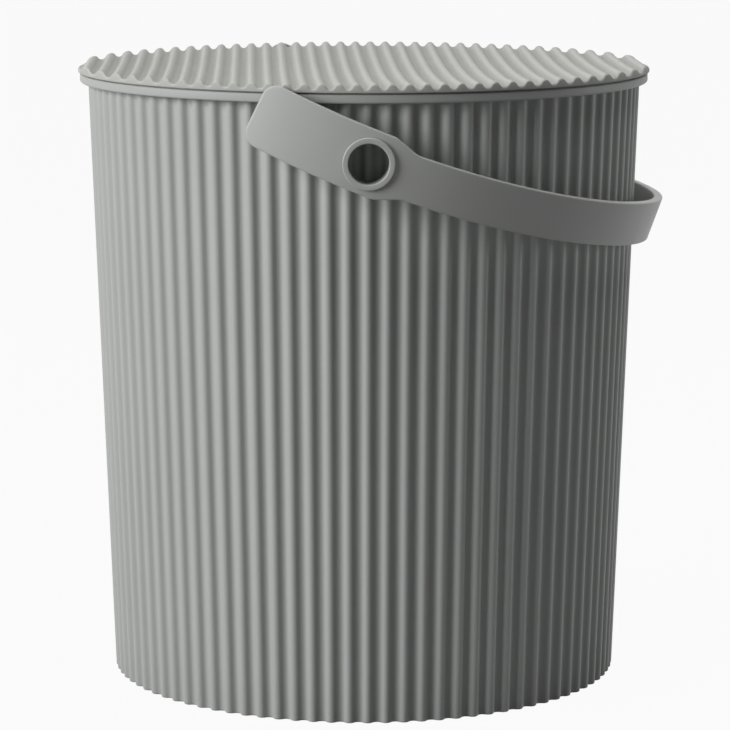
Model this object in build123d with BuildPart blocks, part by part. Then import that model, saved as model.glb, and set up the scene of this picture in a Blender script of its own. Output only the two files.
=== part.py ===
"""Ribbed bucket with a dished, ridged lid and a swinging strap handle.

Millimetres, +Z up. The origin is the centre of the underside, on the floor.
The handle turns about a horizontal line parallel to Y, through the two
hollow eyelets, and at rest it hangs on the +X side.
"""
from build123d import *
from math import cos, hypot, pi, radians, sin
import os

# Bucket wall: crests and valleys of the ribs, measured on the outside
rib_count = 90
rib_depth = 2.7
base_crest_radius = 145.0
top_crest_radius = 156.9
wall_thickness = 2.0
floor_thickness = 2.6

# Rim flange that the lid rests on
rim_top = 344.3
rim_height = 5.0
rim_overhang = 4.6
rim_neck_inset = 0.9
rim_neck_height = 11.0
rim_edge_round = 1.2

# Lid
lid_overhang = 1.0
lid_edge_rise = 5.6
lid_edge_chamfer = 1.1
lid_thickness = 1.9
lid_step_height = 0.6
lid_step_depth = 2.2
ridge_pitch = 9.1
ridge_depth = 2.8
dish_depth = 4.5
skirt_height = 8.0
skirt_thickness = 1.8
skirt_clearance = 0.5

# Pivots: the swing axis below the rim, and the bosses on the wall
pivot_below_rim = 35.3
boss_radius = 16.0
boss_to_handle_gap = 1.1
boss_root_depth = 4.5
seat_clearance = 0.03

# Eyelets: hollow, flanged tubes pressed into the bosses
eyelet_tube_radius = 12.0
eyelet_bore_radius = 10.75
eyelet_flange_radius = 13.9
eyelet_flange_thickness = 1.5
eyelet_insert_depth = 8.5
eyelet_flange_gap = 0.3
eyelet_edge_round = 0.5

# Handle: a band cut from a leaning cylinder, curved along its length
handle_to_lid_gap = 5.4
handle_thickness = 5.0
handle_lean = 20.0
handle_bore_clearance = 0.08
arm_slope = 21.7
arm_curve_radius = 880.0
arm_above_pivot = 0.7
strap_half_width = 12.4
tab_half_width = 17.4
tab_length = 65.2
tab_corner_round = 8.5
shoulder_start = 9.0
shoulder_end = 23.0
shoulder_round = 8.0

# Room by which a rough block or outline reaches past what it is cut to
block_margin = 4.5
band_margin = 20.0
corner_reach = 0.5

# Places that follow from the sizes
rim_underside = rim_top - rim_height
rim_radius = top_crest_radius + rim_overhang
rim_bore_radius = top_crest_radius - rib_depth - wall_thickness - rim_neck_inset
lid_radius = rim_radius + lid_overhang
ridge_top_at_edge = rim_top + lid_edge_rise
pivot_height = rim_top - pivot_below_rim
handle_inner_radius = lid_radius + handle_to_lid_gap
quarter_rib = pi / rib_count / 2


def wave_section(crest_radius):
    """Closed wavy outline of arcs, its crests on crest_radius and one crest facing -Y."""
    flank = crest_radius - rib_depth / 2
    for i in range(2 * rib_count):
        centre = pi * i / rib_count
        peak = crest_radius - rib_depth * (i % 2)
        turns = (centre - quarter_rib, centre, centre + quarter_rib)
        radii = (flank, peak, flank)
        ThreePointArc(*[(r * sin(t), -r * cos(t)) for r, t in zip(radii, turns)])


def crest_radius_at(height):
    """Radius of the rib crests at a height above the floor."""
    share = height / rim_underside
    return base_crest_radius + (top_crest_radius - base_crest_radius) * share


# Bucket body: wavy cone, hollow, with a rim flange and two pivot bosses
boss_end = handle_inner_radius - boss_to_handle_gap
boss_bore_radius = eyelet_tube_radius + seat_clearance
boss_root = crest_radius_at(pivot_height) - rib_depth - boss_root_depth
neck_bottom = rim_underside - rim_neck_height

with BuildPart() as bucket_body:
    for height, crest in ((0, base_crest_radius), (rim_underside, top_crest_radius)):
        with BuildSketch(Plane.XY.offset(height)):
            with BuildLine():
                wave_section(crest)
            make_face()
    loft(ruled=True)
    for side in (-1, 1):
        boss_plane = Plane(origin=(0, side * boss_root, pivot_height), x_dir=(1, 0, 0), z_dir=(0, side, 0))
        with BuildSketch(boss_plane):
            Circle(boss_radius)
            Circle(boss_bore_radius, mode=Mode.SUBTRACT)
        extrude(amount=boss_end - boss_root)
    with BuildSketch(Plane.XZ) as rim_profile:
        with BuildLine():
            Polyline(
                (0, rim_underside),
                (0, rim_top),
                (rim_radius, rim_top),
                (rim_radius, rim_underside),
                close=True,
            )
        make_face()
        fillet(rim_profile.vertices().group_by(Axis.X)[-1], rim_edge_round)
    revolve(axis=Axis.Z)
    for height in (floor_thickness, neck_bottom):
        with BuildSketch(Plane.XY.offset(height)):
            with BuildLine():
                wave_section(crest_radius_at(height) - wall_thickness)
            make_face()
    loft(ruled=True, mode=Mode.SUBTRACT)
    with BuildSketch(Plane.XY.offset(neck_bottom)):
        Circle(rim_bore_radius)
    extrude(amount=rim_top - neck_bottom, mode=Mode.SUBTRACT)

bucket_body.part.label = "bucket_body"

# Lid: ridges run along Y on a dished plate; a skirt inside the rim centres it
dish_radius = lid_radius ** 2 / (2 * dish_depth)
ridge_top_at_centre = ridge_top_at_edge - dish_depth
dish_centre = ridge_top_at_centre + dish_radius
skirt_radius = rim_bore_radius - skirt_clearance
skirt_bottom = rim_top - skirt_height
block_half_width = lid_radius + ridge_pitch
block_half_angle = (lid_radius + block_margin) / dish_radius
block_bottom = skirt_bottom - dish_depth - block_margin


def ridge_point(x, wave):
    """Point of the ridged top on the X axis; wave is 1 on a crest and 0 in a valley."""
    height = ridge_top_at_centre + x * x / (2 * dish_radius) - ridge_depth * (1 - wave)
    return (x, height - dish_centre)


def plate_underside(radius):
    """Height of the plate's smooth underside at a distance from the centre."""
    valley = ridge_top_at_centre - ridge_depth
    return valley + radius * radius / (2 * dish_radius) - lid_thickness


half_pitch = ridge_pitch / 2
half_ridges = int(block_half_width / half_pitch)
dish_start = Plane(
    origin=(0, 0, dish_centre),
    x_dir=(1, 0, 0),
    z_dir=(0, -cos(block_half_angle), sin(block_half_angle)),
)
skirt_inner_radius = skirt_radius - skirt_thickness
step_radius = lid_radius - lid_step_depth
seat_height = rim_top + lid_step_height

with BuildPart() as lid:
    with BuildSketch(dish_start):
        with BuildLine():
            for i in range(-half_ridges, half_ridges + 1):
                middle = i * half_pitch
                ThreePointArc(
                    ridge_point(middle - half_pitch / 2, 0.5),
                    ridge_point(middle, i % 2),
                    ridge_point(middle + half_pitch / 2, 0.5),
                )
            block_edge = (half_ridges + 0.5) * half_pitch
            Polyline(
                ridge_point(-block_edge, 0.5),
                (-block_edge, block_bottom - dish_centre),
                (block_edge, block_bottom - dish_centre),
                ridge_point(block_edge, 0.5),
            )
        make_face()
    revolve(axis=Axis((0, 0, dish_centre), (1, 0, 0)), revolution_arc=2 * block_half_angle * 180 / pi)
    with BuildSketch(Plane.XZ) as lid_edge:
        with BuildLine():
            Polyline(
                (0, skirt_bottom),
                (0, ridge_top_at_edge + ridge_depth),
                (lid_radius - lid_edge_chamfer, ridge_top_at_edge + ridge_depth),
                (lid_radius - lid_edge_chamfer, ridge_top_at_edge),
                (lid_radius, ridge_top_at_edge - lid_edge_chamfer),
                (lid_radius, seat_height),
                (step_radius, seat_height),
                (step_radius, rim_top),
                (skirt_radius, rim_top),
                (skirt_radius, skirt_bottom),
                close=True,
            )
        make_face()
    revolve(axis=Axis.Z, mode=Mode.INTERSECT)
    with BuildSketch(Plane.XZ) as hollow:
        with BuildLine():
            roof = ThreePointArc(
                (0, plate_underside(0)),
                (skirt_inner_radius / 2, plate_underside(skirt_inner_radius / 2)),
                (skirt_inner_radius, plate_underside(skirt_inner_radius)),
            )
            Polyline(
                roof @ 1,
                (skirt_inner_radius, skirt_bottom - lid_thickness),
                (0, skirt_bottom - lid_thickness),
                roof @ 0,
            )
        make_face()
    revolve(axis=Axis.Z, mode=Mode.SUBTRACT)

lid.part.label = "lid"

# Handle: a leaning cylinder's shell, cut to the band's outline seen from the side
slope = radians(arm_slope)
curve_centre = (
    arm_curve_radius * sin(slope),
    pivot_height + arm_above_pivot + arm_curve_radius * cos(slope),
)


def band_point(length, offset):
    """Side-view point at a length along the band from the pivot, offset upwards."""
    angle = slope - length / arm_curve_radius
    reach = arm_curve_radius - offset
    return (curve_centre[0] - reach * sin(angle), curve_centre[1] - reach * cos(angle))


def band_edge(start, end, offset):
    """Arc along the band at a constant offset from its centre line."""
    middle = (start + end) / 2
    return ThreePointArc(band_point(start, offset), band_point(middle, offset), band_point(end, offset))


lean = radians(handle_lean)
handle_radius = handle_inner_radius + handle_thickness
shell_length = 2 * handle_radius
lean_axis = (sin(lean), 0, cos(lean))
shell_start = (
    -lean_axis[0] * shell_length / 2,
    0,
    pivot_height - lean_axis[2] * shell_length / 2,
)
handle_bore_radius = eyelet_tube_radius + handle_bore_clearance
band_end_length = handle_radius + band_margin


def near(points):
    """Selects the sketch corners that lie on the given side-view points; height is the sketch's own Y."""
    return lambda corner: any(hypot(corner.X - x, corner.Y - z) < corner_reach for x, z in points)


tab_corners = [band_point(-tab_length, side * tab_half_width) for side in (-1, 1)]
shoulder_corners = [
    band_point(length, side * half_width)
    for length, half_width in ((shoulder_start, tab_half_width), (shoulder_end, strap_half_width))
    for side in (-1, 1)
]

with BuildPart() as handle:
    with BuildSketch(Plane(origin=shell_start, x_dir=(0, 1, 0), z_dir=lean_axis)):
        Circle(handle_radius)
        Circle(handle_inner_radius, mode=Mode.SUBTRACT)
    extrude(amount=shell_length)
    with BuildSketch(Plane.XZ) as band:
        with BuildLine():
            for side in (-1, 1):
                band_edge(-tab_length, shoulder_start, side * tab_half_width)
                Line(
                    band_point(shoulder_start, side * tab_half_width),
                    band_point(shoulder_end, side * strap_half_width),
                )
                band_edge(shoulder_end, band_end_length, side * strap_half_width)
            for length, half_width in ((-tab_length, tab_half_width), (band_end_length, strap_half_width)):
                Line(band_point(length, half_width), band_point(length, -half_width))
        make_face()
        fillet(band.vertices().filter_by(near(tab_corners)), tab_corner_round)
        fillet(band.vertices().filter_by(near(shoulder_corners)), shoulder_round)
        with Locations((0, pivot_height)):
            Circle(handle_bore_radius, mode=Mode.SUBTRACT)
    extrude(amount=shell_length, both=True, mode=Mode.INTERSECT)

handle.part.label = "handle"


def eyelet(side):
    """Hollow flanged tube on one side of the bucket: -1 is the front, 1 the back."""
    flange_seat = handle_radius + eyelet_flange_gap
    tube_start = boss_end - eyelet_insert_depth
    with BuildPart() as piece:
        with BuildSketch(Plane(origin=(0, 0, pivot_height), x_dir=(1, 0, 0), z_dir=(0, 0, 1))):
            with BuildLine():
                Polyline(
                    (eyelet_bore_radius, side * tube_start),
                    (eyelet_tube_radius, side * tube_start),
                    (eyelet_tube_radius, side * flange_seat),
                    (eyelet_flange_radius, side * flange_seat),
                    (eyelet_flange_radius, side * (flange_seat + eyelet_flange_thickness)),
                    (eyelet_bore_radius, side * (flange_seat + eyelet_flange_thickness)),
                    close=True,
                )
            make_face()
        revolve(axis=Axis((0, 0, pivot_height), (0, 1, 0)))
        face_edges = piece.edges().filter_by(GeomType.CIRCLE).group_by(Axis.Y)[0 if side < 0 else -1]
        fillet(face_edges, eyelet_edge_round)
    return piece.part


front_eyelet = eyelet(-1)
front_eyelet.label = "front_eyelet"
back_eyelet = eyelet(1)
back_eyelet.label = "back_eyelet"

os.makedirs("parts", exist_ok=True)
export_step(bucket_body.part, "parts/bucket_body.step")
export_step(lid.part, "parts/lid.step")
export_step(handle.part, "parts/handle.step")
export_step(front_eyelet, "parts/front_eyelet.step")
export_step(back_eyelet, "parts/back_eyelet.step")
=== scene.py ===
"""Looks of a ribbed household bucket with a dished, ridged lid and a wide strap handle.

Every shape is worked out with numpy in millimetres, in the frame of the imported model: +Z up, the origin at
the centre of the underside, the pivots on a line parallel to Y and the handle hanging on the +X side.
"""

import logging
from dataclasses import dataclass
from enum import Enum
from math import cos, pi, radians, sin

import bmesh
import bpy
import numpy as np
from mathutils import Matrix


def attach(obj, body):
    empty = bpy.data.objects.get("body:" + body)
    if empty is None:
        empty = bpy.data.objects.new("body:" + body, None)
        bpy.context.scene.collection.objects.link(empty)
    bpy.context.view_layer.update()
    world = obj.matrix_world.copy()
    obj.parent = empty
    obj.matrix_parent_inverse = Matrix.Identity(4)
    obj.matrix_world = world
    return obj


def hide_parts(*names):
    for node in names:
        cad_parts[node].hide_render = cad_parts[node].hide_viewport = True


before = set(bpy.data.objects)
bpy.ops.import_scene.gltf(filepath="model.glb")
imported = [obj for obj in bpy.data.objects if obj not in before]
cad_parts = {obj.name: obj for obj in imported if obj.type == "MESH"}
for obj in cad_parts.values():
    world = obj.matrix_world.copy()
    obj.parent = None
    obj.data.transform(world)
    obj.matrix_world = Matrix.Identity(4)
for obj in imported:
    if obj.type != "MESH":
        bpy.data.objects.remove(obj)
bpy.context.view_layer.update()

MM = 0.001
MERGE_DISTANCE = 1e-6
SHARP_ANGLE = radians(42)
PIVOT_HEIGHT = 309.0
RIM_TOP = 344.3
log = logging.getLogger("bucket")


class Side(Enum):
    """The two ends of the pivot line."""

    FRONT = -1
    BACK = 1


class Body(Enum):
    """The bodies that the pieces ride on."""

    BUCKET = "bucket"
    LID = "lid"
    HANDLE = "handle"


def quads(rows: int, columns: int, wrap: bool, first: int) -> np.ndarray:
    """Corner numbers of the quads of a grid whose points are counted row by row.

    Args:
        rows: Number of rows of points.
        columns: Number of points in a row.
        wrap: Whether the last column joins the first.
        first: Number of the grid's first point.

    Returns:
        An array of four corner numbers for each quad.
    """
    row = np.arange(rows - 1)[:, None] * columns
    column = np.arange(columns if wrap else columns - 1)[None, :]
    following = (column + 1) % columns
    corners = [row + column, row + following, row + columns + following, row + columns + column]
    return first + np.stack(np.broadcast_arrays(*corners), axis=-1).reshape(-1, 4)


def closed_piece(name: str, grids: list[tuple[np.ndarray, bool]]) -> bpy.types.Object:
    """Joins point grids into one closed object at the origin, with faces outwards and hard edges kept sharp.

    Args:
        name: Name of the object.
        grids: Pairs of points in millimetres, shaped (rows, columns, 3), and whether the columns wrap around.

    Returns:
        The new object. Points that coincide, at poles and where grids meet, are merged.
    """
    points = []
    faces = []
    count = 0
    for grid, wrap in grids:
        rows, columns, _ = grid.shape
        faces.append(quads(rows, columns, wrap, count))
        points.append(grid.reshape(-1, 3) * MM)
        count += rows * columns
    mesh = bpy.data.meshes.new(name)
    mesh.from_pydata(np.concatenate(points).tolist(), [], np.concatenate(faces).tolist())
    tidy_mesh(mesh)
    piece = bpy.data.objects.new(name, mesh)
    bpy.context.scene.collection.objects.link(piece)
    return piece


def tidy_mesh(mesh: bpy.types.Mesh) -> None:
    """Merges doubled points, turns the faces outwards and shades the mesh smooth but for its hard edges.

    Args:
        mesh: The closed mesh to finish.
    """
    work = bmesh.new()
    work.from_mesh(mesh)
    bmesh.ops.remove_doubles(work, verts=work.verts, dist=MERGE_DISTANCE)
    bmesh.ops.recalc_face_normals(work, faces=work.faces)
    work.to_mesh(mesh)
    work.free()
    mesh.shade_smooth()
    mesh.set_sharp_from_angle(angle=SHARP_ANGLE)


def arc(centre: tuple[float, float], radius: float, start: float, end: float, steps: int) -> np.ndarray:
    """Points of an arc, its angle going evenly from start to end.

    A point is the centre plus the radius times (cosine, sine) of the angle.

    Args:
        centre: Centre of the arc.
        radius: Its radius.
        start: First angle in degrees.
        end: Last angle in degrees.
        steps: Number of steps between the points.

    Returns:
        An array of steps + 1 points.
    """
    angle = np.radians(np.linspace(start, end, steps + 1))
    return np.stack([centre[0] + radius * np.cos(angle), centre[1] + radius * np.sin(angle)], axis=1)


def wave_drop(turns: np.ndarray, pitch: float, depth: float) -> np.ndarray:
    """Depth below the crests of a wave of equal round crests and round valleys.

    Crest and valley are arcs that meet halfway down. Each arc's radius follows from its half chord, a quarter
    of the pitch, and its height, half the depth.

    Args:
        turns: Places along the wave in pitches, with crests at the whole numbers.
        pitch: Distance from crest to crest.
        depth: Height of the crests over the valleys.

    Returns:
        The drop, from 0 on a crest to depth in a valley.
    """
    height = depth / 2
    radius = ((pitch / 4) ** 2 + height ** 2) / (2 * height)
    away = np.abs(turns - np.round(turns))
    on_crest = away < 0.25
    aside = np.where(on_crest, away, 0.5 - away) * pitch
    sag = radius - np.sqrt(radius ** 2 - aside ** 2)
    return np.where(on_crest, sag, depth - sag)


def about_pivot(profile: np.ndarray, side: Side, pivot_height: float, columns: int) -> np.ndarray:
    """Turns a profile of (radius, distance from the middle plane) about the pivot line.

    Args:
        profile: Points of the profile.
        side: The end of the pivot line.
        pivot_height: Height of the line.
        columns: Number of points around it.

    Returns:
        A grid of points: (radius times cosine, side times distance, pivot height plus radius times sine).
    """
    angle = np.linspace(0, 2 * pi, columns, endpoint=False)
    radius, reach = profile[:, :1], profile[:, 1:]
    x = radius * np.cos(angle)
    y = side.value * reach + 0 * x
    z = pivot_height + radius * np.sin(angle)
    return np.stack([x, y, z], axis=-1)


class NodeBoard:
    """Small helper that adds nodes to a material or a world and joins them."""

    def __init__(self, owner: bpy.types.Material | bpy.types.World) -> None:
        """Clears the owner's nodes and keeps its tree.

        Args:
            owner: The material or world to fill.
        """
        owner.use_nodes = True
        self.tree = owner.node_tree
        self.tree.nodes.clear()

    def add(self, kind: str, links: dict, **values: object) -> bpy.types.Node:
        """Adds a node.

        Args:
            kind: The node's type.
            links: Input names with the output sockets or plain values that feed them.
            values: Properties of the node.

        Returns:
            The new node.
        """
        node = self.tree.nodes.new(kind)
        for key, value in values.items():
            setattr(node, key, value)
        for key, value in links.items():
            if isinstance(value, bpy.types.NodeSocket):
                self.tree.links.new(value, node.inputs[key])
            else:
                node.inputs[key].default_value = value
        return node


@dataclass(frozen=True)
class MattePlastic:
    """Moulded matt plastic: an even colour with faint clouds, a fine spark-eroded grain and a soft sheen."""

    name: str
    colour: tuple[float, float, float]
    cloud_strength: float = 0.035
    cloud_scale: float = 14.0
    patch_scale: float = 84.0
    grain_scale: float = 1500.0
    grain_depth: float = 0.000035
    grain_strength: float = 0.6
    roughness: float = 0.46
    roughness_spread: float = 0.07
    specular: float = 0.35

    def shade(self, share: float) -> tuple[float, float, float, float]:
        """The colour, made lighter or darker by a share."""
        return (*(channel * share for channel in self.colour), 1.0)

    def material(self) -> bpy.types.Material:
        """Builds the node material on Object coordinates.

        Returns:
            The material: large clouds mix two close shades, a middle noise changes the roughness, and a fine
            noise drives the bump.
        """
        material = bpy.data.materials.new(self.name)
        board = NodeBoard(material)
        place = board.add("ShaderNodeTexCoord", {}).outputs["Object"]
        clouds = board.add("ShaderNodeTexNoise", {"Vector": place, "Scale": self.cloud_scale, "Detail": 3.0})
        ramp = board.add("ShaderNodeValToRGB", {"Fac": clouds.outputs["Fac"]})
        ramp.color_ramp.elements[0].color = self.shade(1 - self.cloud_strength)
        ramp.color_ramp.elements[1].color = self.shade(1 + self.cloud_strength)
        patches = board.add("ShaderNodeTexNoise", {"Vector": place, "Scale": self.patch_scale, "Detail": 2.0})
        rough = board.add(
            "ShaderNodeMapRange",
            {
                "Value": patches.outputs["Fac"],
                "To Min": self.roughness - self.roughness_spread,
                "To Max": self.roughness + self.roughness_spread,
            },
        )
        grain = board.add("ShaderNodeTexNoise", {"Vector": place, "Scale": self.grain_scale, "Detail": 2.0})
        bump = board.add(
            "ShaderNodeBump",
            {"Height": grain.outputs["Fac"], "Strength": self.grain_strength, "Distance": self.grain_depth},
        )
        shader = board.add(
            "ShaderNodeBsdfPrincipled",
            {
                "Base Color": ramp.outputs["Color"],
                "Roughness": rough.outputs["Result"],
                "Normal": bump.outputs["Normal"],
                "Specular IOR Level": self.specular,
            },
        )
        board.add("ShaderNodeOutputMaterial", {"Surface": shader.outputs["BSDF"]})
        return material


def dress(piece: bpy.types.Object, material: bpy.types.Material, body: Body, node: str) -> None:
    """Gives a piece its material and says where it belongs.

    Args:
        piece: The finished object.
        material: Its material.
        body: The body it rides on.
        node: The model's node that it stands for.
    """
    piece.data.materials.clear()
    piece.data.materials.append(material)
    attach(piece, body.value)
    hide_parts(node)
    log.info("%s: %d faces on %s", piece.name, len(piece.data.polygons), body.value)


@dataclass
class Bucket:
    """The one-piece bucket: ribbed tapering wall, floor, rim and two pivot bosses. Sizes in millimetres."""

    rib_count: int = 90
    rib_depth: float = 2.7
    steps_per_rib: int = 16
    base_crest_radius: float = 145.0
    top_crest_radius: float = 156.9
    wall_thickness: float = 2.0
    floor_thickness: float = 2.6
    base_round: float = 0.9
    floor_round: float = 2.0
    rim_top: float = RIM_TOP
    rim_height: float = 5.0
    rim_radius: float = 161.5
    rim_bore_radius: float = 151.3
    rim_neck_height: float = 11.0
    rim_edge_round: float = 1.2
    rim_bore_round: float = 0.5
    rim_flat_start: float = 8.0
    pivot_height: float = PIVOT_HEIGHT
    boss_radius: float = 16.0
    boss_bore_radius: float = 12.03
    boss_root: float = 148.6
    boss_end: float = 166.8
    boss_round: float = 0.6
    boss_columns: int = 96
    wall_rows: int = 14
    floor_rings: int = 7

    @property
    def rim_underside(self) -> float:
        """Height of the rim's lower face."""
        return self.rim_top - self.rim_height

    def crest_radius(self, height: np.ndarray) -> np.ndarray:
        """Radius of the rib crests at a height, growing evenly from the base to the rim's underside."""
        share = height / self.rim_underside
        return self.base_crest_radius + (self.top_crest_radius - self.base_crest_radius) * share

    def profile(self) -> np.ndarray:
        """Half section of the shell, from the middle of the underside around to the middle of the floor.

        The rim's flat underside starts just outside the crests, rim_flat_start away from the bore.

        Returns:
            Rows of (crest radius, height, share of the rib depth that the row has).
        """
        neck_bottom = self.rim_underside - self.rim_neck_height
        base_centre = (self.base_crest_radius - self.base_round, self.base_round)
        base_edge = arc(base_centre, self.base_round, start=-90, end=0, steps=4)
        outer_heights = np.linspace(self.base_round, self.rim_underside, self.wall_rows)[1:]
        outer = np.stack([self.crest_radius(outer_heights), outer_heights], axis=1)
        outer_edge_x = self.rim_radius - self.rim_edge_round
        inner_edge_x = self.rim_bore_radius + self.rim_bore_round
        lower_edge_z = self.rim_underside + self.rim_edge_round
        upper_edge_z = self.rim_top - self.rim_edge_round
        bore_edge_z = self.rim_top - self.rim_bore_round
        rim = np.concatenate([
            [(self.rim_bore_radius + self.rim_flat_start, self.rim_underside)],
            arc((outer_edge_x, lower_edge_z), self.rim_edge_round, start=-90, end=0, steps=5),
            arc((outer_edge_x, upper_edge_z), self.rim_edge_round, start=0, end=90, steps=5),
            arc((inner_edge_x, bore_edge_z), self.rim_bore_round, start=90, end=180, steps=4),
            [(self.rim_bore_radius, neck_bottom)],
        ])
        inner_heights = np.linspace(neck_bottom, self.floor_thickness + self.floor_round, self.wall_rows)
        inner = np.stack([self.crest_radius(inner_heights) - self.wall_thickness, inner_heights], axis=1)
        corner_x = self.crest_radius(self.floor_thickness) - self.wall_thickness - self.floor_round
        corner_centre = (corner_x, self.floor_thickness + self.floor_round)
        corner = arc(corner_centre, self.floor_round, start=0, end=-90, steps=5)[1:]
        middle = np.linspace(1, 0, self.floor_rings + 1)[1:]
        under = np.stack([base_edge[0, 0] * middle[::-1], 0 * middle], axis=1)
        floor = np.stack([corner_x * middle, self.floor_thickness + 0 * middle], axis=1)
        outside = [(under, middle[::-1]), (base_edge, 1), (outer, 1), (rim, 0)]
        inside = [(inner, 1), (corner, 1), (floor, middle)]
        return np.concatenate([
            np.column_stack([section, np.broadcast_to(share, len(section))])
            for section, share in outside + inside
        ])

    def shell(self) -> bpy.types.Object:
        """The wall, floor and rim as one surface.

        The radius at a place is the crest radius less the row's share of the wave's drop, which has rib_count
        crests around the axis, one of them facing -Y.

        Returns:
            The new object.
        """
        columns = self.rib_count * self.steps_per_rib
        turns = np.arange(columns) / self.steps_per_rib
        angle = turns * 2 * pi / self.rib_count
        pitch = pi * (self.base_crest_radius + self.top_crest_radius - self.rib_depth) / self.rib_count
        drop = wave_drop(turns, pitch, self.rib_depth)
        rows = self.profile()
        radius = rows[:, :1] - rows[:, 2:] * drop
        height = rows[:, 1:2] + 0 * radius
        points = np.stack([radius * np.sin(angle), -radius * np.cos(angle), height], axis=-1)
        return closed_piece("bucket_shell", [(points, True)])

    def boss(self, side: Side) -> bpy.types.Object:
        """Round boss on the wall that carries an eyelet: a short tube, its outer end softly rounded.

        Args:
            side: The end of the pivot line.

        Returns:
            The new object.
        """
        outer_x = self.boss_radius - self.boss_round
        inner_x = self.boss_bore_radius + self.boss_round
        end_y = self.boss_end - self.boss_round
        profile = np.concatenate([
            [(self.boss_bore_radius, self.boss_root), (self.boss_radius, self.boss_root)],
            arc((outer_x, end_y), self.boss_round, start=0, end=90, steps=4),
            arc((inner_x, end_y), self.boss_round, start=90, end=180, steps=4),
            [(self.boss_bore_radius, self.boss_root)],
        ])
        grid = about_pivot(profile, side, self.pivot_height, self.boss_columns)
        return closed_piece(f"{side.name.lower()}_boss", [(grid, True)])

    def build(self, material: bpy.types.Material) -> None:
        """Builds and dresses the shell and both bosses.

        Args:
            material: The body's plastic.
        """
        pieces = [self.shell(), self.boss(Side.FRONT), self.boss(Side.BACK)]
        for piece in pieces:
            dress(piece, material, Body.BUCKET, "bucket_body")


@dataclass
class Lid:
    """The lid: a dished plate with parallel ridges, an edge band and a centring skirt. Sizes in millimetres."""

    radius: float = 162.5
    edge_round: float = 1.1
    plate_thickness: float = 1.9
    step_height: float = 0.75
    step_depth: float = 3.0
    band_round: float = 0.4
    ridge_pitch: float = 9.18
    ridge_depth: float = 2.8
    ridge_top_at_edge: float = 349.9
    ridge_shift: float = -4.35
    dish_depth: float = 4.5
    skirt_radius: float = 150.8
    skirt_height: float = 8.0
    skirt_thickness: float = 1.8
    seat: float = RIM_TOP
    turned: float = 1.05
    columns: int = 1440
    chord_rows: int = 24
    under_rings: int = 9

    @property
    def dish_radius(self) -> float:
        """Radius of the dish's curve."""
        return self.radius ** 2 / (2 * self.dish_depth)

    def top_height(self, x: np.ndarray, y: np.ndarray) -> np.ndarray:
        """Height of the ridged top.

        On the X axis it is the dish, x squared over twice the dish radius, less the wave's drop. Away from
        it, the height turns about a line parallel to X through the dish's centre.

        Args:
            x: Places across the ridges.
            y: Places along the ridges.

        Returns:
            The heights.
        """
        middle = self.ridge_top_at_edge - self.dish_depth
        centre = middle + self.dish_radius
        turns = (x - self.ridge_shift) / self.ridge_pitch + 0.5
        drop = wave_drop(turns, self.ridge_pitch, self.ridge_depth)
        on_axis = middle + x ** 2 / (2 * self.dish_radius) - drop
        return centre - np.sqrt((centre - on_axis) ** 2 - y ** 2)

    def underside_height(self, radius: np.ndarray) -> np.ndarray:
        """Height of the plate's smooth underside: the valleys' dish less the plate's thickness."""
        valley = self.ridge_top_at_edge - self.dish_depth - self.ridge_depth
        return valley + radius ** 2 / (2 * self.dish_radius) - self.plate_thickness

    def turn(self, points: np.ndarray) -> np.ndarray:
        """Turns points about the upright axis by the angle at which the lid lies.

        Args:
            points: Points with x, y and z along the last axis.

        Returns:
            The turned points.
        """
        angle = radians(self.turned)
        x, y = points[..., 0], points[..., 1]
        turned = [x * cos(angle) - y * sin(angle), x * sin(angle) + y * cos(angle), points[..., 2]]
        return np.stack(turned, axis=-1)

    def top(self) -> np.ndarray:
        """The ridged top inside the rounded edge: x is the radius times a cosine, and y runs along the chord.

        Returns:
            A grid whose first and last columns shrink to points at the lid's two sides.
        """
        flat_radius = self.radius - self.edge_round
        angle = np.linspace(0, pi, self.columns // 2 + 1)[None, :]
        along = np.linspace(-1, 1, self.chord_rows + 1)[:, None]
        x = flat_radius * np.cos(angle) + 0 * along
        y = flat_radius * np.sin(angle) * along
        return np.stack([x, y, self.top_height(x, y)], axis=-1)

    def edge_and_skirt(self) -> np.ndarray:
        """The rounded edge, the plain band, the step, the skirt and the underside, around the axis.

        Returns:
            A grid from the top's border around to the middle of the underside. The rounded edge starts at the
            height of the ridges, so the band's upper side is toothed.
        """
        angle = np.linspace(0, 2 * pi, self.columns, endpoint=False)
        flat_radius = self.radius - self.edge_round
        border = self.top_height(flat_radius * np.cos(angle), flat_radius * np.sin(angle))
        edge = arc((flat_radius, -self.edge_round), self.edge_round, start=90, end=0, steps=5)
        edge_radius = edge[:, :1] + 0 * border
        edge_height = border + edge[:, 1:]
        seat_height = self.seat + self.step_height
        step_radius = self.radius - self.step_depth
        skirt_bottom = self.seat - self.skirt_height
        skirt_inner = self.skirt_radius - self.skirt_thickness
        tip = self.skirt_thickness / 2
        band_corner = (self.radius - self.band_round, seat_height + self.band_round)
        centre_line = np.linspace(1, 0, self.under_rings) * skirt_inner
        lower = np.concatenate([
            arc(band_corner, self.band_round, start=0, end=-90, steps=3),
            [(step_radius, seat_height), (step_radius, self.seat), (self.skirt_radius, self.seat)],
            arc((skirt_inner + tip, skirt_bottom + tip), tip, start=0, end=-180, steps=8),
            np.stack([centre_line, self.underside_height(centre_line)], axis=1),
        ])
        radius = np.concatenate([edge_radius, lower[:, :1] + 0 * border])
        height = np.concatenate([edge_height, lower[:, 1:] + 0 * border])
        return np.stack([radius * np.cos(angle), radius * np.sin(angle), height], axis=-1)

    def build(self, material: bpy.types.Material) -> None:
        """Builds and dresses the lid.

        Args:
            material: The lid's plastic.
        """
        grids = [(self.turn(self.top()), False), (self.turn(self.edge_and_skirt()), True)]
        piece = closed_piece("ridged_lid", grids)
        dress(piece, material, Body.LID, "lid")


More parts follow.
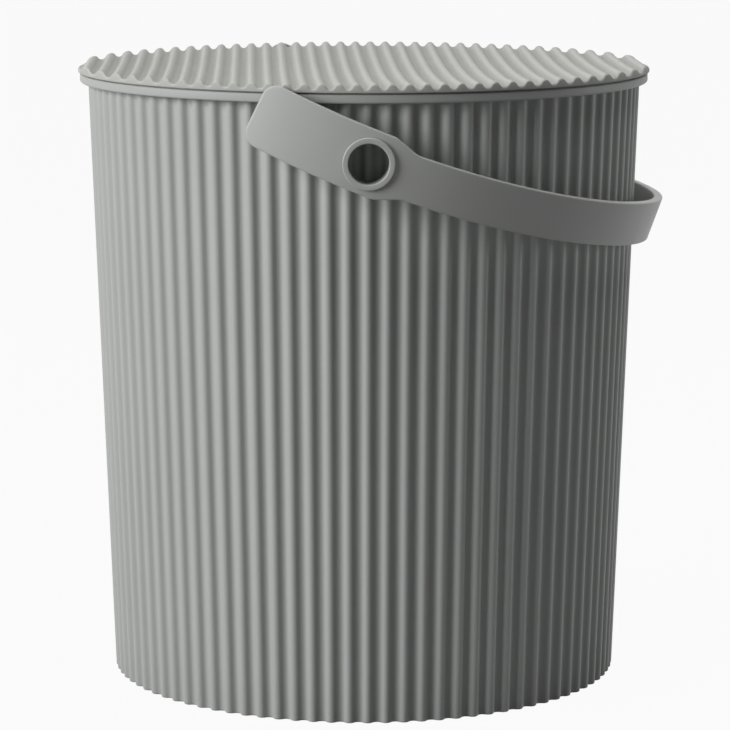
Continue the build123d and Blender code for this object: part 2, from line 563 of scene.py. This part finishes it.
@dataclass
class Handle:
    """The strap handle: a band of a leaning round shell, wider at its hubs and tabs. Sizes in millimetres."""

    inner_radius: float = 167.9
    thickness: float = 5.0
    lean: float = radians(20.0)
    slope: float = radians(21.7)
    curve_radius: float = 880.0
    above_pivot: float = 0.7
    pivot_height: float = PIVOT_HEIGHT
    bore_radius: float = 12.08
    strap_half_width: float = 12.4
    tab_half_width: float = 17.4
    tab_length: float = 65.2
    tab_corner: float = 8.5
    shoulder_start: float = 9.0
    shoulder_end: float = 23.0
    shoulder_softness: float = 1.6
    edge_round: float = 0.8
    arm_end: float = 120.0
    hub_reach: float = 17.0
    past_shoulder: float = 4.0
    tab_step: float = 2.4
    hub_step: float = 1.0
    shoulder_step: float = 0.8
    arm_step: float = 2.6
    corner_columns: int = 16
    edge_columns: int = 5
    bow_columns: int = 60
    bore_columns: int = 128
    across_points: int = 31
    through_points: int = 4
    round_points: int = 5
    blend_start: float = 50.0
    blend_span: float = 25.0

    @property
    def middle_radius(self) -> float:
        """Radius of the shell's middle."""
        return self.inner_radius + self.thickness / 2

    def curve_centre(self) -> tuple[float, float]:
        """Centre, seen from the side, of the long curve that the band follows.

        Returns:
            The centre's x and z.
        """
        x = self.curve_radius * sin(self.slope)
        z = self.pivot_height + self.above_pivot + self.curve_radius * cos(self.slope)
        return x, z

    def band_point(self, length: np.ndarray, offset: np.ndarray) -> tuple[np.ndarray, np.ndarray]:
        """Side view point at a length along the band from the pivot, offset upwards.

        Args:
            length: Length along the band, negative towards the tab.
            offset: Distance above the band's centre line.

        Returns:
            The point's x and z.
        """
        centre_x, centre_z = self.curve_centre()
        angle = self.slope - length / self.curve_radius
        reach = self.curve_radius - offset
        return centre_x - reach * np.sin(angle), centre_z - reach * np.cos(angle)

    def aside(self, x: np.ndarray, z: np.ndarray) -> np.ndarray:
        """Distance of a side view point from the shell's leaning axis, positive towards +X."""
        return x * cos(self.lean) - (z - self.pivot_height) * sin(self.lean)

    def half_width(self, length: np.ndarray) -> np.ndarray:
        """Half the band's width.

        It is the tab's, less a ramp with softened ends at the shoulders, less the round of the end's corners.

        Args:
            length: Length along the band from the pivot, negative towards the tab.

        Returns:
            The half widths.
        """
        fall = (self.tab_half_width - self.strap_half_width) / (self.shoulder_end - self.shoulder_start)
        soft = self.shoulder_softness

        def ramp(place: np.ndarray) -> np.ndarray:
            """Zero, then a parabola of twice the softness in length, then a rise of one in one."""
            bend = (np.clip(place, -soft, soft) + soft) ** 2 / (4 * soft)
            return bend + np.maximum(place - soft, 0)

        narrowing = ramp(length - self.shoulder_start) - ramp(length - self.shoulder_end)
        width = self.tab_half_width - fall * narrowing
        to_corner = np.clip(self.tab_corner - (length + self.tab_length), 0, self.tab_corner)
        return width - self.tab_corner + np.sqrt(self.tab_corner ** 2 - to_corner ** 2)

    def stations(self) -> tuple[np.ndarray, np.ndarray]:
        """Places of the columns from the tab's end to the middle of the bow.

        Returns:
            The angle of each around the shell's axis, from +X, and its length along the band.
        """
        corner = self.tab_corner * (1 - np.cos(np.linspace(0, pi / 2, self.corner_columns)))
        edge = self.edge_round * (1 - np.cos(np.linspace(0, pi / 2, self.edge_columns)))
        arm_start = self.shoulder_end + self.past_shoulder
        lengths = np.unique(np.concatenate([
            corner - self.tab_length,
            edge - self.tab_length,
            np.arange(self.tab_corner - self.tab_length, -self.hub_reach, self.tab_step),
            np.arange(-self.hub_reach, self.hub_reach, self.hub_step),
            np.arange(self.hub_reach, arm_start, self.shoulder_step),
            np.arange(arm_start, self.arm_end, self.arm_step),
        ]))
        arm = np.arccos(self.aside(*self.band_point(lengths, 0)) / self.middle_radius)
        bow = np.linspace(arm[-1], 0, self.bow_columns + 1)[1:]
        angle = np.concatenate([arm, bow])
        return angle, np.concatenate([lengths, self.length_at(bow)])

    def drop_along_axis(self, aside: np.ndarray, offset: np.ndarray) -> tuple[np.ndarray, np.ndarray]:
        """Side view point at a given distance from the leaning axis and a given offset from the long curve.

        It is the lower crossing of a line parallel to the axis with the circle of the long curve.

        Args:
            aside: Distance from the leaning axis.
            offset: Offset of the band's point upwards from its centre line.

        Returns:
            The point's x and z.
        """
        centre_x, centre_z = self.curve_centre()
        start_x = aside * cos(self.lean)
        start_z = self.pivot_height - aside * sin(self.lean)
        away_x, away_z = centre_x - start_x, centre_z - start_z
        along = away_x * sin(self.lean) + away_z * cos(self.lean)
        reach = self.curve_radius - offset
        down = along - np.sqrt(along ** 2 - away_x ** 2 - away_z ** 2 + reach ** 2)
        return start_x + down * sin(self.lean), start_z + down * cos(self.lean)

    def length_at(self, angle: np.ndarray) -> np.ndarray:
        """Length along the band's centre line at an angle around the shell.

        Args:
            angle: Angle around the shell's axis, from +X.

        Returns:
            The length from the pivot.
        """
        x, z = self.drop_along_axis(self.middle_radius * np.cos(angle), np.zeros_like(angle))
        centre_x, centre_z = self.curve_centre()
        return (self.slope - np.arctan2(centre_x - x, centre_z - z)) * self.curve_radius

    def section(self) -> tuple[np.ndarray, np.ndarray, np.ndarray, np.ndarray]:
        """Outline of a rounded rectangle: where its corners' centres are, from -1 to 1, and the way out.

        Returns:
            Shares of the half width and of the half thickness, and the direction's two cosines.
        """
        across = np.linspace(-1, 1, self.across_points)
        through = np.linspace(1, -1, self.through_points)
        turn = np.radians(np.linspace(90, 0, self.round_points))[1:-1]
        ones, bend = np.ones_like(turn), (np.cos(turn), np.sin(turn))
        flat, upright = np.zeros_like(across), np.zeros_like(through)
        half_share = np.concatenate([across, ones, upright + 1, ones])
        half_depth = np.concatenate([flat + 1, ones, through, -ones])
        half_out = np.concatenate([flat, bend[0], upright + 1, bend[0][::-1]])
        half_up = np.concatenate([flat + 1, bend[1], upright, -bend[1][::-1]])
        share = np.concatenate([half_share, -half_share])
        depth = np.concatenate([half_depth, -half_depth])
        out = np.concatenate([half_out, -half_out])
        up = np.concatenate([half_up, -half_up])
        return share, depth, out, up

    def band(self) -> np.ndarray:
        """The whole band as rings of its rounded section, from the front tab around the bow to the back tab.

        On the arms a ring follows the side view straight across the band; around the bow it turns with the
        shell. From blend_start degrees off the bow's middle, over blend_span, the one changes smoothly into
        the other.

        Returns:
            A grid with one ring in each row, and a point in the middle of each tab's end.
        """
        angle, length = self.stations()
        width = self.half_width(length)[:, None]
        to_end = np.clip(self.edge_round - (length + self.tab_length), 0, self.edge_round)[:, None]
        inset = self.edge_round - np.sqrt(self.edge_round ** 2 - to_end ** 2)
        share, depth, out, up = self.section()
        offset = share * (width - self.edge_round) + self.edge_round * out
        flat_depth = self.thickness / 2 - self.edge_round - inset
        radius = self.middle_radius + depth * flat_depth + self.edge_round * up
        blend = np.clip((np.degrees(angle)[:, None] - self.blend_start) / self.blend_span, 0, 1)
        blend = blend ** 2 * (3 - 2 * blend)
        straight = self.aside(*self.band_point(length[:, None], offset))
        aside = blend * straight + (1 - blend) * radius * np.cos(angle[:, None])
        x, z = self.drop_along_axis(aside, offset)
        y = np.sqrt(np.maximum(radius ** 2 - aside ** 2, 0))
        front = np.stack([x, -y, z], axis=-1)
        tip = np.broadcast_to(front[0].mean(axis=0), front[:1].shape)
        half = np.concatenate([tip, front])
        back = half[::-1] * np.array([1, -1, 1])
        return np.concatenate([half, back[1:]])

    def build(self, material: bpy.types.Material) -> None:
        """Builds the band, cuts the bores for the eyelets through its hubs and dresses it.

        Args:
            material: The handle's plastic.
        """
        piece = closed_piece("strap_handle", [(self.band(), True)])
        reach = self.inner_radius + 3 * self.thickness
        rod = np.array([(0.0, -reach), (self.bore_radius, -reach), (self.bore_radius, reach), (0.0, reach)])
        rod_grid = about_pivot(rod, Side.BACK, self.pivot_height, self.bore_columns)
        cutter = closed_piece("bore_cutter", [(rod_grid, True)])
        cut = piece.modifiers.new("bores", "BOOLEAN")
        cut.operation = "DIFFERENCE"
        cut.solver = "EXACT"
        cut.object = cutter
        bpy.context.view_layer.update()
        shaped = bpy.data.meshes.new_from_object(piece.evaluated_get(bpy.context.evaluated_depsgraph_get()))
        piece.modifiers.clear()
        piece.data = shaped
        piece.data.name = piece.name
        bpy.data.objects.remove(cutter)
        tidy_mesh(piece.data)
        dress(piece, material, Body.HANDLE, "handle")


@dataclass
class Eyelet:
    """Hollow flanged tube that holds one end of the handle on its boss. Sizes in millimetres."""

    side: Side
    pivot_height: float = PIVOT_HEIGHT
    bore_radius: float = 10.75
    tube_radius: float = 12.0
    flange_radius: float = 13.9
    flange_thickness: float = 1.5
    flange_seat: float = 173.2
    tube_start: float = 158.3
    edge_round: float = 0.6
    columns: int = 128

    def build(self, material: bpy.types.Material) -> None:
        """Builds and dresses the eyelet as a closed profile turned about the pivot line.

        Args:
            material: The eyelets' plastic.
        """
        face = self.flange_seat + self.flange_thickness
        rounded = face - self.edge_round
        profile = np.concatenate([
            [(self.bore_radius, self.tube_start), (self.tube_radius, self.tube_start)],
            [(self.tube_radius, self.flange_seat), (self.flange_radius, self.flange_seat)],
            arc((self.flange_radius - self.edge_round, rounded), self.edge_round, start=0, end=90, steps=6),
            arc((self.bore_radius + self.edge_round, rounded), self.edge_round, start=90, end=180, steps=6),
            [(self.bore_radius, self.tube_start)],
        ])
        name = self.side.name.lower()
        grid = about_pivot(profile, self.side, self.pivot_height, self.columns)
        piece = closed_piece(f"{name}_eyelet_ring", [(grid, True)])
        dress(piece, material, Body.BUCKET, f"{name}_eyelet")


@dataclass(frozen=True)
class Softbox:
    """One soft studio lamp, placed by its bearing and lift in degrees around the bucket. Lengths in metres."""

    name: str
    bearing: float
    lift: float
    distance: float
    width: float
    height: float
    watts: float
    aim: tuple[float, float, float] = (0.0, 0.0, 0.18)

    def build(self) -> None:
        """Adds the lamp. A bearing of 0 is the camera's side, and it grows towards +X."""
        lamp = bpy.data.lights.new(self.name, "AREA")
        lamp.shape = "RECTANGLE"
        lamp.size = self.width
        lamp.size_y = self.height
        lamp.energy = self.watts
        holder = bpy.data.objects.new(self.name, lamp)
        bpy.context.scene.collection.objects.link(holder)
        bearing, lift = radians(self.bearing), radians(self.lift)
        away = np.array([sin(bearing) * cos(lift), -cos(bearing) * cos(lift), sin(lift)])
        holder.location = np.array(self.aim) + self.distance * away
        holder.rotation_euler = (pi / 2 - lift, 0, bearing)
        log.info("%s: %.0f W", self.name, self.watts)


@dataclass
class Studio:
    """Camera, soft lamps, white surroundings and floor. Lengths in metres, angles in degrees."""

    camera_distance: float = 1.9
    camera_height: float = 0.4919
    camera_aside: float = 0.0007
    camera_bearing: float = -0.9
    camera_pitch: float = 9.5
    lens: float = 164.0
    sensor_width: float = 36.0
    farthest_view: float = 100.0
    ambient: float = 0.03
    floor_size: float = 40.0
    floor_glow: float = 0.95
    floor_shade: float = 0.24

    def camera(self) -> None:
        """Places the camera at the photograph's viewing angle."""
        data = bpy.data.cameras.new("camera")
        data.lens = self.lens
        data.sensor_width = self.sensor_width
        data.clip_end = self.farthest_view
        holder = bpy.data.objects.new("camera", data)
        bpy.context.scene.collection.objects.link(holder)
        bearing = radians(self.camera_bearing)
        x = self.camera_distance * sin(bearing) + self.camera_aside * cos(bearing)
        y = -self.camera_distance * cos(bearing) + self.camera_aside * sin(bearing)
        holder.location = (x, y, self.camera_height)
        holder.rotation_euler = (radians(90 - self.camera_pitch), 0, bearing)
        bpy.context.scene.camera = holder

    def seen_white(self, board: NodeBoard) -> bpy.types.NodeSocket:
        """Tells where a surface is looked at, straight or in a gloss or through glass.

        Args:
            board: The node board to add to.

        Returns:
            A socket that is 1 for camera, glossy and transmission rays, and 0 for the light on the bucket.
        """
        path = board.add("ShaderNodeLightPath", {})
        mirrored = board.add(
            "ShaderNodeMath",
            {0: path.outputs["Is Glossy Ray"], 1: path.outputs["Is Transmission Ray"]},
            operation="MAXIMUM",
        )
        seen = board.add(
            "ShaderNodeMath",
            {0: path.outputs["Is Camera Ray"], 1: mirrored.outputs[0]},
            operation="MAXIMUM",
        )
        return seen.outputs[0]

    def surroundings(self) -> None:
        """White all round to the eye, dimmer as a light."""
        world = bpy.data.worlds.new("surroundings")
        board = NodeBoard(world)
        strength = board.add(
            "ShaderNodeMapRange",
            {"Value": self.seen_white(board), "To Min": self.ambient, "To Max": 1.0},
        )
        light = board.add(
            "ShaderNodeBackground",
            {"Color": (1, 1, 1, 1), "Strength": strength.outputs["Result"]},
        )
        board.add("ShaderNodeOutputWorld", {"Surface": light.outputs["Background"]})
        bpy.context.scene.world = world

    def floor(self) -> None:
        """A wide pale floor: mostly white to the eye, and the rest a plain surface that takes the shadow."""
        half = self.floor_size / 2 / MM
        corners = np.array([(-half, -half, 0.0), (half, -half, 0.0), (-half, half, 0.0), (half, half, 0.0)])
        mesh = bpy.data.meshes.new("floor")
        mesh.from_pydata((corners * MM).tolist(), [], quads(2, 2, False, 0).tolist())
        piece = bpy.data.objects.new("floor", mesh)
        bpy.context.scene.collection.objects.link(piece)
        material = bpy.data.materials.new("pale_floor")
        board = NodeBoard(material)
        glow = board.add("ShaderNodeEmission", {"Strength": 1.0})
        plain = board.add("ShaderNodeBsdfDiffuse", {"Color": (*[self.floor_shade] * 3, 1)})
        share = board.add(
            "ShaderNodeMath",
            {0: self.seen_white(board), 1: self.floor_glow},
            operation="MULTIPLY",
        )
        mixed = board.add("ShaderNodeMixShader", {0: share.outputs[0]})
        board.tree.links.new(plain.outputs[0], mixed.inputs[1])
        board.tree.links.new(glow.outputs[0], mixed.inputs[2])
        board.add("ShaderNodeOutputMaterial", {"Surface": mixed.outputs[0]})
        mesh.materials.append(material)

    def build(self) -> None:
        """Builds the whole studio."""
        self.camera()
        self.surroundings()
        self.floor()
        lamps = [
            Softbox("key_softbox", bearing=-62, lift=21, distance=2.2, width=1.6, height=1.3, watts=56),
            Softbox("top_softbox", bearing=70, lift=82, distance=1.9, width=1.3, height=1.3, watts=23),
            Softbox("fill_softbox", bearing=100, lift=8, distance=2.4, width=0.9, height=0.85, watts=11),
        ]
        for lamp in lamps:
            lamp.build()
        bpy.context.scene.view_settings.view_transform = "Standard"


def main() -> None:
    """Builds the studio and every piece, and reports each."""
    logging.basicConfig(level=logging.INFO, format="%(message)s")
    log.info("frame: %d nodes", len(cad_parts))
    body_plastic = MattePlastic("body_plastic", (0.355, 0.368, 0.357), specular=0.16)
    lid_plastic = MattePlastic("lid_plastic", (0.385, 0.39, 0.367), roughness=0.6, specular=0.1)
    handle_plastic = MattePlastic("handle_plastic", (0.345, 0.353, 0.342), grain_depth=2e-5, roughness=0.42)
    eyelet_plastic = MattePlastic("eyelet_plastic", (0.355, 0.366, 0.352), grain_depth=1e-5, roughness=0.34)
    Studio().build()
    Bucket().build(body_plastic.material())
    Lid().build(lid_plastic.material())
    Handle().build(handle_plastic.material())
    eyelet_material = eyelet_plastic.material()
    for side in Side:
        Eyelet(side).build(eyelet_material)


if __name__ == "__main__":
    main()
